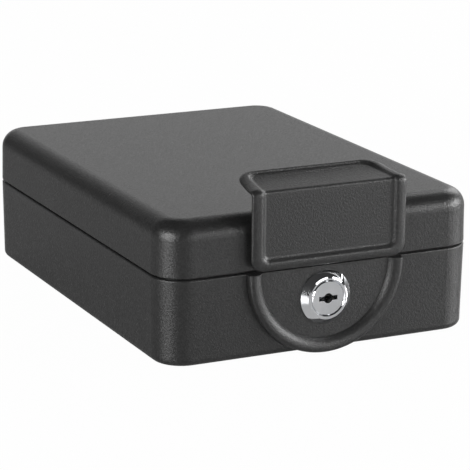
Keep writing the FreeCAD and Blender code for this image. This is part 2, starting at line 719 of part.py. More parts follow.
# Plug with keyway, wafer slots and a square tail
plug_face = bezel_face + PLUG_SETBACK
plug = rod_y(PLUG_RADIUS, plug_face, barrel_end, 0.0, lock_z)
plug_rim = [edge for edge in plug.Edges if abs(edge.BoundBox.YMax - plug_face) < TOUCH]
plug = plug.makeChamfer(PLUG_CHAMFER, plug_rim)
tail = box(
    -TAIL_HALF_WIDTH,
    TAIL_HALF_WIDTH,
    barrel_end,
    tail_end,
    lock_z - TAIL_HALF_WIDTH,
    lock_z + TAIL_HALF_WIDTH,
)
lock_plug = joined([plug, tail])
keyway_end = plug_face + KEYWAY_DEPTH
keyway = joined(
    [
        box(
            -KEYWAY_LENGTH / 2,
            KEYWAY_LENGTH / 2,
            plug_face - CUT_MARGIN,
            keyway_end,
            lock_z - KEYWAY_WIDTH / 2,
            lock_z + KEYWAY_WIDTH / 2,
        ),
        rod_y(KEYWAY_BULGE, plug_face - CUT_MARGIN, keyway_end, 0.0, lock_z),
    ]
)
lock_plug = lock_plug.cut(keyway)
wafer_half_width = PLUG_RADIUS - WAFER_SIDE_INSET
wafer_half_height = PLUG_RADIUS - WAFER_TOP_INSET
window_half_width = wafer_half_width - WAFER_SIDE_RIM
window_half_height = wafer_half_height - WAFER_TOP_RIM
wafers = []
for index in range(WAFER_COUNT):
    wafer_y = plug_face + WAFER_START + index * WAFER_PITCH
    slack = FIXED_CLEARANCE
    lock_plug = lock_plug.cut(
        box(
            -wafer_half_width - slack,
            wafer_half_width + slack,
            wafer_y - slack,
            wafer_y + WAFER_THICKNESS + slack,
            lock_z - wafer_half_height - slack,
            lock_z + wafer_half_height + slack,
        )
    )
    wafer = box(
        -wafer_half_width,
        wafer_half_width,
        wafer_y,
        wafer_y + WAFER_THICKNESS,
        lock_z - wafer_half_height,
        lock_z + wafer_half_height,
    )
    window = box(
        -window_half_width,
        window_half_width,
        wafer_y - slack,
        wafer_y + WAFER_THICKNESS + slack,
        lock_z - window_half_height,
        lock_z + window_half_height,
    )
    wafers.append(wafer.cut(window))
cam_screw_hole = screw_hole(0.0, lock_z, tail_end - SCREW_BITE - RUN_CLEARANCE, tail_end + CUT_MARGIN)
lock_plug = lock_plug.cut(cam_screw_hole)
save("lock_plug", lock_plug)
save("lock_wafers", Part.makeCompound(wafers))

# Stop washer, hook cam, washer and screw on the plug's tail
tail_fit = TAIL_HALF_WIDTH + FIXED_CLEARANCE
tail_hole = box(
    -tail_fit,
    tail_fit,
    barrel_end,
    cam_washer_end,
    lock_z - tail_fit,
    lock_z + tail_fit,
)
tab = sector(
    BARREL_RADIUS - STOP_TAB_INSET,
    stop_y,
    stop_y + STOP_THICKNESS,
    CAM_REST_ANGLE - STOP_TAB_ANGLE / 2,
    STOP_TAB_ANGLE,
)
stop_washer = joined([rod_y(STOP_RADIUS, stop_y, stop_y + STOP_THICKNESS, 0.0, lock_z), tab]).cut(tail_hole)
save("stop_washer", stop_washer)

hook = sector(CAM_HOOK_OUTER, cam_y, cam_end, CAM_REST_ANGLE - CAM_HOOK_SPAN, CAM_HOOK_SPAN)
hook = hook.cut(rod_y(CAM_HOOK_INNER, cam_y, cam_end, 0.0, lock_z))
arm = box(0.0, CAM_HOOK_OUTER, cam_y, cam_end, -CAM_ARM_HALF_WIDTH, CAM_ARM_HALF_WIDTH)
arm.rotate(ORIGIN, Y_AXIS, -CAM_REST_ANGLE)
arm.translate(Vector(0, 0, lock_z))
arm = arm.common(rod_y(CAM_HOOK_OUTER, cam_y, cam_end, 0.0, lock_z))
hub = rod_y(CAM_HUB_RADIUS, cam_y, cam_end, 0.0, lock_z)
lock_cam = joined([hub, arm, hook]).cut(tail_hole)
save("lock_cam", lock_cam)

cam_washer = rod_y(CAM_WASHER_RADIUS, cam_washer_y, cam_washer_end, 0.0, lock_z)
cam_washer = cam_washer.cut(screw_hole(0.0, lock_z, cam_end, cam_washer_end))
save("cam_washer", cam_washer)
save("cam_screw", screw(0.0, lock_z, cam_washer_end + FIXED_CLEARANCE, tail_end - SCREW_BITE))

# Hinge: knuckles alternate between the two leaves
knuckle_pitch = HINGE_LENGTH / HINGE_KNUCKLES
base_leaf_parts = []
lid_leaf_parts = []
for index in range(HINGE_KNUCKLES):
    x0 = -HINGE_LENGTH / 2 + index * knuckle_pitch + KNUCKLE_GAP / 2
    x1 = x0 + knuckle_pitch - KNUCKLE_GAP
    knuckle = rod_x(KNUCKLE_RADIUS, x0, x1, axis_y, parting_z)
    lean = back_wall(parting_z, WALL + LEAF_THICKNESS)
    if index % 2 == 0:
        web = box(x0, x1, lean, axis_y, parting_z - KNUCKLE_RADIUS, parting_z - WEB_INNER)
        base_leaf_parts += [knuckle, web]
    else:
        web = box(x0, x1, lean, axis_y, parting_z + WEB_INNER, parting_z + KNUCKLE_RADIUS)
        middle = (x0 + x1) / 2
        stop_lug = box(
            middle - LUG_LENGTH / 2,
            middle + LUG_LENGTH / 2,
            half_depth + LUG_GAP,
            half_depth + LUG_THICKNESS,
            parting_z - LUG_REACH,
            parting_z - PIN_RADIUS - RUN_CLEARANCE,
        )
        stop_lug.rotate(Vector(0, axis_y, parting_z), X_AXIS, LID_TRAVEL)
        lid_leaf_parts += [knuckle, web, stop_lug]


def leaf_plate(z_near, z_far):
    """Hinge leaf lying on the drafted back wall's inner face."""
    near_y = back_wall(z_near, WALL) - FIXED_CLEARANCE
    far_y = back_wall(z_far, WALL) - FIXED_CLEARANCE
    return side_prism(
        [
            (near_y, z_near),
            (far_y, z_far),
            (far_y - LEAF_THICKNESS, z_far),
            (near_y - LEAF_THICKNESS, z_near),
        ],
        -HINGE_LENGTH / 2,
        HINGE_LENGTH / 2,
    )


pin_hole = rod_x(PIN_RADIUS + RUN_CLEARANCE, -HINGE_LENGTH, HINGE_LENGTH, axis_y, parting_z)
base_plate = leaf_plate(parting_z - LEAF_EDGE, parting_z - LEAF_EDGE - LEAF_HEIGHT)
lid_plate = leaf_plate(parting_z + LEAF_EDGE, parting_z + LEAF_EDGE + LEAF_HEIGHT)
hinge_base_leaf = joined([base_plate] + base_leaf_parts).cut(pin_hole)
hinge_lid_leaf = joined([lid_plate] + lid_leaf_parts).cut(pin_hole)
base_rivets = []
lid_rivets = []
for x in rivet_xs:
    hinge_base_leaf = hinge_base_leaf.cut(rivet_hole(x, base_rivet_z))
    hinge_lid_leaf = hinge_lid_leaf.cut(rivet_hole(x, lid_rivet_z))
    base_rivets.append(rivet(x, base_rivet_z))
    lid_rivets.append(rivet(x, lid_rivet_z))
save("hinge_base_leaf", hinge_base_leaf)
save("hinge_lid_leaf", hinge_lid_leaf)
save("hinge_base_rivets", Part.makeCompound(base_rivets))
save("hinge_lid_rivets", Part.makeCompound(lid_rivets))

pin_half = HINGE_LENGTH / 2
hinge_pin = joined(
    [
        rod_x(PIN_RADIUS, -pin_half, pin_half, axis_y, parting_z),
        rod_x(PIN_HEAD_RADIUS, -pin_half - PIN_HEAD_LENGTH, -pin_half, axis_y, parting_z),
        rod_x(PIN_HEAD_RADIUS, pin_half, pin_half + PIN_HEAD_LENGTH, axis_y, parting_z),
    ]
)
save("hinge_pin", hinge_pin)

# Foam linings and rubber feet
mat_shrink = 2 * MAT_MARGIN
mat_z = base_low + WALL
base_mat = rounded_rect(
    BODY_WIDTH - mat_shrink,
    BODY_DEPTH - mat_shrink,
    CORNER_RADIUS - MAT_MARGIN,
    mat_z,
).extrude(Vector(0, 0, MAT_THICKNESS))
save("base_mat", base_mat)
pad_shrink = 2 * PAD_MARGIN
pad_z = lid_top - WALL - PAD_THICKNESS
lid_pad = rounded_rect(
    BODY_WIDTH - pad_shrink,
    BODY_DEPTH - pad_shrink,
    PAD_CORNER_RADIUS,
    pad_z,
).extrude(Vector(0, 0, PAD_THICKNESS))
save("lid_pad", lid_pad)

foot_x = BODY_WIDTH / 2 - FOOT_INSET
foot_y = half_depth - FOOT_INSET
feet = []
for sx in (-1, 1):
    for sy in (-1, 1):
        foot = Part.makeCylinder(FOOT_RADIUS, FOOT_HEIGHT, Vector(sx * foot_x, sy * foot_y, 0.0), Z_AXIS)
        foot = foot.makeChamfer(FOOT_ROUNDING, edges_at(foot, 0.0))
        feet.append(foot)
save("rubber_feet", Part.makeCompound(feet))
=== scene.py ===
"""Looks of the textured steel cash box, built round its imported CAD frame."""

import json
import logging
import math
from dataclasses import dataclass, field, replace
from enum import Enum
from typing import Any, Optional

import bmesh
import bpy
from mathutils import Matrix, Vector

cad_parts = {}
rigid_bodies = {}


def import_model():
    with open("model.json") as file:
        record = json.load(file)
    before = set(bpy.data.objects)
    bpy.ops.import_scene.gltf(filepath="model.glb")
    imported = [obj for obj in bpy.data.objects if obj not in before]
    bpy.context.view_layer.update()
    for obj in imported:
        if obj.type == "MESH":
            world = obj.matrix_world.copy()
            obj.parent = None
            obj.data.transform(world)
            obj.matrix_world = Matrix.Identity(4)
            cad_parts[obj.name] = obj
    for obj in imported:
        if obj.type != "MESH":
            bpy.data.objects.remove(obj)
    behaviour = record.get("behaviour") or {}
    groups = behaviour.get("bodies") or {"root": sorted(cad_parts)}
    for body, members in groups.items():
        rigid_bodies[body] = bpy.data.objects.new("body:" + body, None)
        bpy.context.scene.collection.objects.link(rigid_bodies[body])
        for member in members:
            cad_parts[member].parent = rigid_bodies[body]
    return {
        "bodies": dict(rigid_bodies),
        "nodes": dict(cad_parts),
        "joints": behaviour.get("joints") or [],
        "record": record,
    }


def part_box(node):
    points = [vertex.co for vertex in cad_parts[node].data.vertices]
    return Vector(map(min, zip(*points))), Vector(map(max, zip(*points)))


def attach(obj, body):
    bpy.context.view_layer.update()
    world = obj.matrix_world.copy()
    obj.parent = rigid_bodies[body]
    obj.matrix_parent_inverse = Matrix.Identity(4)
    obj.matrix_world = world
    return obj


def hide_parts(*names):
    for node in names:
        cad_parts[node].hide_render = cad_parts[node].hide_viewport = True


LOG = logging.getLogger("cash_box")
MM = 0.001
QUARTER_TURN = math.radians(90)
PHOTO_PX = 470
# Most values of a noise pattern lie between these two.
NOISE_LOW = 0.3
NOISE_HIGH = 0.7


class Body(Enum):
    """Rigid bodies of the box."""

    BASE = "base"
    LID = "lid"
    LOCK = "lock"


class Stretch(Enum):
    """Stretches of the pull's side view: up the front, over the bend and back along the lip."""

    FRONT = "front"
    BEND = "bend"
    LIP = "lip"


class Slot(Enum):
    """Material slots of the record."""

    COAT = "charcoal_coat"
    ABS = "charcoal_abs"
    ZINC = "zinc_steel"
    RIVET = "coated_rivet"
    CHROME = "chrome_plate"
    NICKEL = "nickel_silver"
    FOAM = "black_foam"
    RUBBER = "black_rubber"


def linear(hex_colour: str) -> tuple[float, float, float, float]:
    """Turn an sRGB hex colour into linear light.

    Args:
        hex_colour: Colour such as "#3a3b3d".

    Returns:
        Linear red, green, blue and an alpha of one.
    """
    channels = []
    for start in (1, 3, 5):
        value = int(hex_colour[start:start + 2], 16) / 255
        channels.append(value / 12.92 if value <= 0.04045 else ((value + 0.055) / 1.055) ** 2.4)
    return (channels[0], channels[1], channels[2], 1.0)


def per_metre(size_mm: float) -> float:
    """Return the pattern scale that makes one feature this many millimetres wide."""
    return 1.0 / (size_mm * MM)


def outward(azimuth: float, elevation: float) -> Vector:
    """Return the direction from the box, with azimuth turning from the front to the right."""
    level = math.cos(elevation)
    return Vector((math.sin(azimuth) * level, -math.cos(azimuth) * level, math.sin(elevation)))


def add_node(
    tree: bpy.types.NodeTree,
    kind: str,
    values: Optional[dict[Any, Any]] = None,
    links: Optional[dict[Any, Any]] = None,
    **settings: Any,
) -> bpy.types.Node:
    """Add a node with its settings, socket values and incoming links.

    Args:
        tree: Node tree of the material or world.
        kind: Blender's node type name.
        values: Socket name or index to a constant value.
        links: Socket name or index to the output socket that feeds it.
        settings: Attributes of the node itself.

    Returns:
        The new node.
    """
    node = tree.nodes.new(kind)
    for name, value in settings.items():
        setattr(node, name, value)
    for socket, value in (values or {}).items():
        node.inputs[socket].default_value = value
    for socket, source in (links or {}).items():
        tree.links.new(source, node.inputs[socket])
    return node


def new_material(name: str) -> tuple[bpy.types.Material, bpy.types.NodeTree, bpy.types.Node, Any]:
    """Start a material with a principled shader and object coordinates.

    Args:
        name: Name of the material.

    Returns:
        The material, its node tree, its shader and the coordinate socket.
    """
    material = bpy.data.materials.new(name)
    material.use_nodes = True
    tree = material.node_tree
    tree.nodes.clear()
    shader = add_node(tree, "ShaderNodeBsdfPrincipled")
    add_node(tree, "ShaderNodeOutputMaterial", links={"Surface": shader.outputs["BSDF"]})
    place = add_node(tree, "ShaderNodeTexCoord")
    return material, tree, shader, place.outputs["Object"]


def noise(
    tree: bpy.types.NodeTree, place: Any, size_mm: float, detail: float, roughness: float = 0.5
) -> Any:
    """Add a cloudy noise pattern.

    Args:
        tree: Node tree of the material.
        place: Coordinate socket.
        size_mm: Width of one feature.
        detail: Number of finer layers.
        roughness: Strength of the finer layers.

    Returns:
        The pattern's value socket.
    """
    node = add_node(
        tree,
        "ShaderNodeTexNoise",
        values={"Scale": per_metre(size_mm), "Detail": detail, "Roughness": roughness},
        links={"Vector": place},
    )
    return node.outputs["Fac"]


def cells(tree: bpy.types.NodeTree, place: Any, size_mm: float) -> Any:
    """Add a pattern of cells this wide and return its distance socket."""
    node = add_node(
        tree, "ShaderNodeTexVoronoi", values={"Scale": per_metre(size_mm)}, links={"Vector": place}
    )
    return node.outputs["Distance"]


def tint(tree: bpy.types.NodeTree, value: Any, stops: dict[float, str]) -> Any:
    """Colour a pattern by its value.

    Args:
        tree: Node tree of the material.
        value: The pattern's value socket.
        stops: Value to sRGB hex colour, from the lowest to the highest.

    Returns:
        The colour socket.
    """
    node = add_node(tree, "ShaderNodeValToRGB", links={"Fac": value})
    ramp = node.color_ramp
    places = list(stops)
    for element, place in zip(ramp.elements, (places[0], places[-1])):
        element.position = place
        element.color = linear(stops[place])
    for place in places[1:-1]:
        ramp.elements.new(place).color = linear(stops[place])
    return node.outputs["Color"]


def spread(tree: bpy.types.NodeTree, value: Any, low: float, high: float) -> Any:
    """Stretch a noise pattern's usual values from low to high and return the result socket."""
    node = add_node(
        tree,
        "ShaderNodeMapRange",
        values={"From Min": NOISE_LOW, "From Max": NOISE_HIGH, "To Min": low, "To Max": high},
        links={"Value": value},
    )
    return node.outputs["Result"]


def add_relief(
    tree: bpy.types.NodeTree, shader: bpy.types.Node, height: Any, depth_mm: float, strength: float
) -> None:
    """Raise a pattern as fine relief on a shader.

    Args:
        tree: Node tree of the material.
        shader: Shader that takes the relief.
        height: The pattern's value socket.
        depth_mm: Depth of the relief.
        strength: Share of the relief that shows.
    """
    node = add_node(
        tree,
        "ShaderNodeBump",
        values={"Strength": strength, "Distance": depth_mm * MM},
        links={"Height": height},
    )
    tree.links.new(node.outputs["Normal"], shader.inputs["Normal"])


def add_object(shape: bmesh.types.BMesh, name: str) -> bpy.types.Object:
    """Turn a closed shape into a mesh object, with its four-sided faces shaded smooth.

    Args:
        shape: Shape in the row frame, which is freed.
        name: Name of the object and its mesh.

    Returns:
        The new object.
    """
    bmesh.ops.recalc_face_normals(shape, faces=shape.faces)
    for face in shape.faces:
        face.smooth = len(face.verts) == 4
    mesh = bpy.data.meshes.new(name)
    shape.to_mesh(mesh)
    shape.free()
    piece = bpy.data.objects.new(name, mesh)
    bpy.context.scene.collection.objects.link(piece)
    return piece


def eased(part: float) -> float:
    """Return a share from 0 to 1, eased in and out."""
    return part * part * (3 - 2 * part)


@dataclass(frozen=True)
class PebbleFinish:
    """Charcoal surface with a fine pebble grain, coated on steel or moulded in ABS.

    The eye sees a matt grey-black skin with tiny rounded bumps: each bump
    catches the light, so the surface sparkles faintly and looks dusty where it
    faces the light.
    """

    # Such a grain is commonly under half a millimetre wide, too fine for the photo's
    # pixels, so its pebbles and relief are drawn as coarse as they need to be to show.
    name: str
    base: str = "#262626"
    # Painted highlight and shade: the crest colour sits on the pebbles' high points as a
    # highlight, and the pit colour sits in their low points as shade.
    crest: str = "#2f2f2f"
    pit_shade: str = "#1f1f1f"
    pit_shade_at: float = 0.34
    base_at: float = 0.5
    crest_highlight_at: float = 0.68
    pebble_mm: float = 0.95
    pebble_detail: float = 2.0
    pebble_roughness: float = 0.55
    grit_mm: float = 0.38
    grit_share: float = 0.35
    cloud_mm: float = 38.0
    cloud_detail: float = 3.0
    cloud_depth: float = 0.08
    bump_mm: float = 0.15
    bump_strength: float = 0.8
    roughness: float = 0.32
    roughness_spread: float = 0.05
    ior: float = 1.5

    def material(self) -> bpy.types.Material:
        """Build the material.

        Returns:
            The finished material.
        """
        material, tree, shader, place = new_material(self.name)
        shader.inputs["IOR"].default_value = self.ior
        pebbles = noise(tree, place, self.pebble_mm, self.pebble_detail, self.pebble_roughness)
        grit = cells(tree, place, self.grit_mm)
        clouds = noise(tree, place, self.cloud_mm, self.cloud_detail)
        height = add_node(
            tree,
            "ShaderNodeMath",
            values={1: self.grit_share},
            links={0: grit, 2: pebbles},
            operation="MULTIPLY_ADD",
        )
        # Painted shade and highlight: the pebbles that raise the relief also colour it, darker in
        # the pits and lighter on the crests.
        stops = {self.pit_shade_at: self.pit_shade, self.base_at: self.base, self.crest_highlight_at: self.crest}
        tone = tint(tree, pebbles, stops)
        shade = spread(tree, clouds, 1 - self.cloud_depth, 1 + self.cloud_depth)
        colour = add_node(tree, "ShaderNodeHueSaturation", links={"Value": shade, "Color": tone})
        rough = self.roughness + self.roughness_spread
        smooth = self.roughness - self.roughness_spread
        tree.links.new(colour.outputs["Color"], shader.inputs["Base Color"])
        tree.links.new(spread(tree, pebbles, rough, smooth), shader.inputs["Roughness"])
        add_relief(tree, shader, height.outputs["Value"], self.bump_mm, self.bump_strength)
        return material


@dataclass(frozen=True)
class PlatedMetal:
    """Plated or stamped metal: bright zinc, polished chrome or nickel silver.

    The eye sees a mirror broken by fine polishing marks and faint cloudy
    patches, so its edges glint and its flats go dark or bright as a whole.
    """

    name: str
    base: str
    stain: str
    roughness: float
    roughness_spread: float
    stain_at: float = 0.3
    base_at: float = 0.6
    mark_mm: float = 0.3
    mark_detail: float = 2.0
    patch_mm: float = 6.0
    patch_detail: float = 4.0
    bump_mm: float = 0.004
    bump_strength: float = 0.4

    def material(self) -> bpy.types.Material:
        """Build the material.

        Returns:
            The finished material.
        """
        material, tree, shader, place = new_material(self.name)
        shader.inputs["Metallic"].default_value = 1.0
        patches = noise(tree, place, self.patch_mm, self.patch_detail)
        marks = noise(tree, place, self.mark_mm, self.mark_detail)
        tone = tint(tree, patches, {self.stain_at: self.stain, self.base_at: self.base})
        smooth = self.roughness - self.roughness_spread
        rough = self.roughness + self.roughness_spread
        tree.links.new(tone, shader.inputs["Base Color"])
        tree.links.new(spread(tree, patches, smooth, rough), shader.inputs["Roughness"])
        add_relief(tree, shader, marks, self.bump_mm, self.bump_strength)
        return material


@dataclass(frozen=True)
class SoftFinish:
    """Closed-cell foam sheet or moulded rubber.

    The eye sees a dull black skin, pricked with small cells on foam and
    nearly plain on rubber, with a dusty bloom where it catches the light.
    """

    name: str
    base: str
    bloom: str
    cell_mm: float
    bump_mm: float
    roughness: float
    base_at: float = 0.35
    bloom_at: float = 0.75
    dust_cells: float = 12.0
    dust_detail: float = 5.0
    bump_strength: float = 0.7

    def material(self) -> bpy.types.Material:
        """Build the material.

        Returns:
            The finished material.
        """
        material, tree, shader, place = new_material(self.name)
        shader.inputs["Roughness"].default_value = self.roughness
        pores = cells(tree, place, self.cell_mm)
        dust = noise(tree, place, self.cell_mm * self.dust_cells, self.dust_detail)
        tone = tint(tree, dust, {self.base_at: self.base, self.bloom_at: self.bloom})
        tree.links.new(tone, shader.inputs["Base Color"])
        add_relief(tree, shader, pores, self.bump_mm, self.bump_strength)
        return material


FINISHES = {
    Slot.COAT: PebbleFinish("textured_powder_coat"),
    Slot.RIVET: PebbleFinish("coated_rivet_steel", pebble_mm=0.7),
    Slot.ABS: PebbleFinish("moulded_abs", bump_mm=0.19, roughness=0.38),
    Slot.ZINC: PlatedMetal(
        "bright_zinc_plate",
        base="#c3c5c8",
        stain="#9c9fa3",
        roughness=0.32,
        roughness_spread=0.08,
    ),
    Slot.CHROME: PlatedMetal(
        "polished_chrome",
        base="#f2f3f5",
        stain="#e8eaed",
        roughness=0.07,
        roughness_spread=0.02,
    ),
    Slot.NICKEL: PlatedMetal(
        "stamped_nickel_silver",
        base="#b9b5ac",
        stain="#98938a",
        roughness=0.3,
        roughness_spread=0.06,
    ),
    Slot.FOAM: SoftFinish(
        "closed_cell_foam",
        base="#1d1d1f",
        bloom="#2b2b2e",
        cell_mm=0.9,
        bump_mm=0.2,
        roughness=0.9,
    ),
    Slot.RUBBER: SoftFinish(
        "moulded_rubber",
        base="#161617",
        bloom="#232325",
        cell_mm=0.5,
        bump_mm=0.05,
        roughness=0.7,
    ),
}


@dataclass
class Workshop:
    """The loaded frame and the materials that dress it."""

    frame: dict[str, Any]
    materials: dict[Slot, bpy.types.Material] = field(default_factory=dict)

    def material(self, slot: Slot) -> bpy.types.Material:
        """Return the slot's material, built on first use."""
        if slot not in self.materials:
            self.materials[slot] = FINISHES[slot].material()
        return self.materials[slot]

    def dress_node(self, node: str, slot: Slot) -> None:
        """Give a CAD node its finish.

        Args:
            node: Name of the CAD node.
            slot: Finish that it takes.
        """
        mesh = self.frame["nodes"][node].data
        mesh.materials.clear()
        mesh.materials.append(self.material(slot))
        LOG.info("dressed %s in %s", node, slot.value)

    def dress_nodes(self, finishes: dict[str, Slot]) -> None:
        """Give several CAD nodes their finishes."""
        for node, slot in finishes.items():
            self.dress_node(node, slot)

    def place_piece(self, piece: bpy.types.Object, body: Body, slot: Slot, node: str) -> None:
        """Dress a Blender piece, ride it on a body and let it stand for a node.

        Args:
            piece: The new mesh object.
            body: Body that carries it.
            slot: Finish that it takes.
            node: CAD node that it stands for.
        """
        piece.data.materials.append(self.material(slot))
        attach(piece, body.value)
        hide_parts(node)
        LOG.info("made %s on %s", piece.name, body.value)


@dataclass
class FoamSheet:
    """Foam lining: a flat-backed sheet with a soft edge and a slight crown."""

    node: str
    name: str
    body: Body
    facing: int
    corner: float = 10 * MM
    edge: float = 1.2 * MM
    crown: float = 0.5 * MM
    glued_inset_share: float = 1 / 4
    glued_rise_share: float = 1 / 3
    edge_steps: int = 5
    crown_steps: int = 9
    corner_points: int = 9

    def outline(self, inset: float) -> list[Vector]:
        """Return the sheet's rounded outline, moved in by inset.

        Args:
            inset: Distance in from the CAD sheet's own outline.

        Returns:
            Points round the outline in the row frame, at height zero.
        """
        low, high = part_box(self.node)
        half_x = (high.x - low.x) / 2 - inset
        half_y = (high.y - low.y) / 2 - inset
        middle = (low + high) / 2
        radius = max(min(self.corner, half_x, half_y) - inset, self.edge * self.glued_inset_share)
        points = []
        for quarter, (sx, sy) in enumerate(((1, 1), (-1, 1), (-1, -1), (1, -1))):
            for step in range(self.corner_points):
                angle = QUARTER_TURN * (quarter + step / (self.corner_points - 1))
                x = middle.x + sx * (half_x - radius) + radius * math.cos(angle)
                y = middle.y + sy * (half_y - radius) + radius * math.sin(angle)
                points.append(Vector((x, y, 0.0)))
        return points

    def rings(self) -> list[tuple[float, float]]:
        """Return inset and height pairs from the glued face up over the crown."""
        low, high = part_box(self.node)
        thickness = high.z - low.z
        shoulder = thickness - self.crown - self.edge
        reach = min(high.x - low.x, high.y - low.y) / 2 - self.edge * 2
        glued = (self.edge * self.glued_inset_share, 0.0)
        pairs = [glued, (0.0, self.edge * self.glued_rise_share), (0.0, shoulder)]
        for step in range(1, self.edge_steps + 1):
            angle = QUARTER_TURN * step / self.edge_steps
            inset = self.edge * (1 - math.cos(angle))
            pairs.append((inset, shoulder + self.edge * math.sin(angle)))
        for step in range(1, self.crown_steps + 1):
            part = step / self.crown_steps
            rise = self.crown * (1 - (1 - part) ** 2)
            pairs.append((self.edge + (reach - self.edge) * part, thickness - self.crown + rise))
        return pairs

    def build(self) -> bpy.types.Object:
        """Build the sheet's mesh.

        Returns:
            The new object, in place in the row frame.
        """
        low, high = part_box(self.node)
        glued = low.z if self.facing > 0 else high.z
        shape = bmesh.new()
        loops = []
        for inset, height in self.rings():
            level = glued + self.facing * height
            loops.append([shape.verts.new((p.x, p.y, level)) for p in self.outline(inset)])
        count = len(loops[0])
        for lower, upper in zip(loops, loops[1:]):
            for index in range(count):
                following = (index + 1) % count
                shape.faces.new((lower[index], lower[following], upper[following], upper[index]))
        shape.faces.new(loops[0])
        shape.faces.new(loops[-1])
        return add_object(shape, self.name)

    def dress(self, workshop: Workshop) -> None:
        piece = self.build()
        workshop.place_piece(piece, self.body, Slot.FOAM, self.node)


@dataclass
class BentLine:
    """Side view of one skin of the pull: up the front, over a bend and back along the lip.

    Distances out are from the lid's front wall and heights are from the lid's
    top, both in millimetres.
    """

    out: float
    low: float
    top: float
    bend: float
    lip_out: float
    lip_rise: float
    lip_power: float
    lip_slope: float = 0.0
    foot_out: float = 0.0
    foot_low: float = -12.0
    foot_high: float = -3.0

    def point(self, stretch: Stretch, part: float) -> Vector:
        """Return a point on the line.

        Args:
            stretch: Stretch of the line.
            part: Share of the stretch, from 0 to 1.

        Returns:
            Distance out and height.
        """
        if stretch is Stretch.FRONT:
            height = self.low + (self.top - self.bend - self.low) * part
            level = min(max((height - self.foot_low) / (self.foot_high - self.foot_low), 0.0), 1.0)
            return Vector((self.out + self.foot_out * (1 - eased(level)), height))
        if stretch is Stretch.BEND:
            angle = QUARTER_TURN * part
            middle = Vector((self.out - self.bend, self.top - self.bend))
            return middle + self.bend * Vector((math.cos(angle), math.sin(angle)))
        start = self.out - self.bend
        rise = self.lip_slope * part + self.lip_rise * part ** self.lip_power
        return Vector((start + (self.lip_out - start) * part, self.top + rise))

    def normal(self, stretch: Stretch, part: float) -> Vector:
        """Return the outward direction at a point, found from its neighbours on the line."""
        step = 0.01
        ahead = self.point(stretch, part + step) - self.point(stretch, part - step)
        return Vector((ahead.y, -ahead.x)).normalized()


@dataclass
class PullOutline:
    """Outline round the unrolled pull: widths, insets at both ends and corner radii in mm."""

    half_front: float
    half_back: float
    inset_low: float
    inset_back: float
    corner_low: float
    corner_back: float

    def inner(self, amount: float) -> "PullOutline":
        """Return the outline moved in all round, with its corners kept round."""
        least = amount / 2
        return PullOutline(
            self.half_front - amount,
            self.half_back - amount,
            self.inset_low + amount,
            self.inset_back + amount,
            max(self.corner_low - amount, least),
            max(self.corner_back - amount, least),
        )


# Distance from the pull's middle, stretch of the side view and share of it, point by point.
Chain = list[tuple[float, Stretch, float]]


